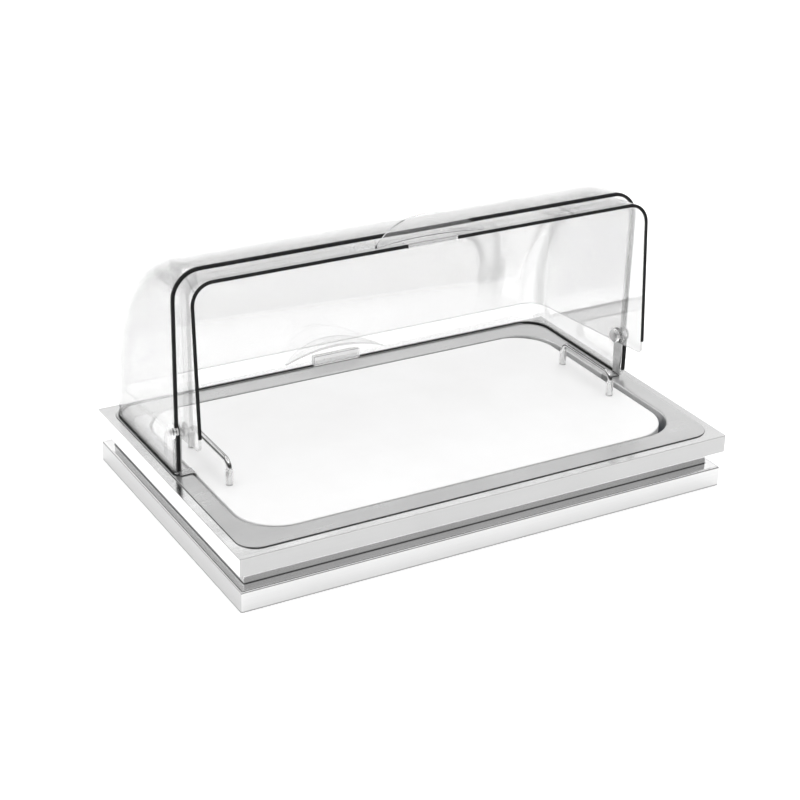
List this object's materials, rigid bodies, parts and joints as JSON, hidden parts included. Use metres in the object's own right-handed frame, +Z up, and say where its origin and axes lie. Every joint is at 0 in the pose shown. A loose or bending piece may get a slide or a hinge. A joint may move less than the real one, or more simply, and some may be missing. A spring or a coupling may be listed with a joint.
{
  "type": "roll top chafer",
  "caption": "Cold buffet display: steel base and gastronorm tray with a white serving board under a two-part clear roll-top hood.",
  "frame": {"origin": "centre of the base's underside, on the surface that it stands on", "axes": "+X along the base's length, -Y towards the serving side that the front hood opens, +Z up"},
  "size_m": [0.55, 0.3615, 0.2909],
  "materials": {
    "polished_steel": "polished stainless steel sheet",
    "plain_steel": "mill finish stainless steel",
    "tray_steel": "satin stainless steel, lightly brushed",
    "pack_plastic": "blue polyethylene, moulded",
    "plug_plastic": "white polyethylene",
    "board_plastic": "white food board, fine matt texture",
    "chrome": "bright chrome plated wire",
    "collar_plastic": "clear moulded sleeve",
    "bracket_steel": "satin stainless strip",
    "cap_plastic": "clear moulded knob",
    "washer_plastic": "natural nylon",
    "hood_clear": "clear acrylic, polished",
    "handle_clear": "clear acrylic, moulded",
    "seal_rubber": "black soft seal"
  },
  "bodies": {
    "base": {"lower_frame": "polished_steel", "recess_band": "polished_steel", "upper_frame": "polished_steel", "floor_pan": "plain_steel", "tie_bolts": "plain_steel", "tie_nuts": "plain_steel", "lower_spacers": "plain_steel", "upper_spacers": "plain_steel"},
    "tray": {"gn_tray": "tray_steel", "cold_pack_left": "pack_plastic", "cold_pack_right": "pack_plastic", "cold_pack_plug_left": "plug_plastic", "cold_pack_plug_right": "plug_plastic"},
    "board": {"serving_board": "board_plastic", "bail_left": "chrome", "bail_right": "chrome", "bail_collar_left_front": "collar_plastic", "bail_collar_left_rear": "collar_plastic", "bail_collar_right_front": "collar_plastic", "bail_collar_right_rear": "collar_plastic"},
    "hood_carrier": {"bracket_left": "bracket_steel", "bracket_right": "bracket_steel", "pivot_pin_left": "chrome", "pivot_pin_right": "chrome", "inner_cap_left": "cap_plastic", "inner_cap_right": "cap_plastic", "outer_cap_left": "cap_plastic", "outer_cap_right": "cap_plastic", "inner_washer_left": "washer_plastic", "inner_washer_right": "washer_plastic", "outer_washer_left": "washer_plastic", "outer_washer_right": "washer_plastic"},
    "front_hood": {"front_hood_shell": "hood_clear", "front_hood_bottom_seal": "seal_rubber", "front_hood_handle": "handle_clear"},
    "rear_hood": {"rear_hood_shell": "hood_clear", "rear_hood_bottom_seal": "seal_rubber", "rear_hood_arch_seal": "seal_rubber", "rear_hood_side_seals": "seal_rubber", "rear_hood_handle": "handle_clear"}
  },
  "joints": [
    {"name": "tray_lift", "type": "slide", "parent": "base", "child": "tray", "axis": [0, 0, 1], "range_m": [0, 0.06]},
    {"name": "board_lift", "type": "slide", "parent": "tray", "child": "board", "axis": [0, 0, 1], "range_m": [0, 0.05]},
    {"name": "hood_carrier_lift", "type": "slide", "parent": "tray", "child": "hood_carrier", "axis": [0, 0, 1], "range_m": [0, 0.1]},
    {"name": "front_hood_roll", "type": "hinge", "parent": "hood_carrier", "child": "front_hood", "pos_m": [0, 0, 0.1061], "axis": [1, 0, 0], "range_deg": [0, 94.5]},
    {"name": "rear_hood_roll", "type": "hinge", "parent": "hood_carrier", "child": "rear_hood", "pos_m": [0, 0, 0.1061], "axis": [1, 0, 0], "range_deg": [0, 2.5]}
  ]
}
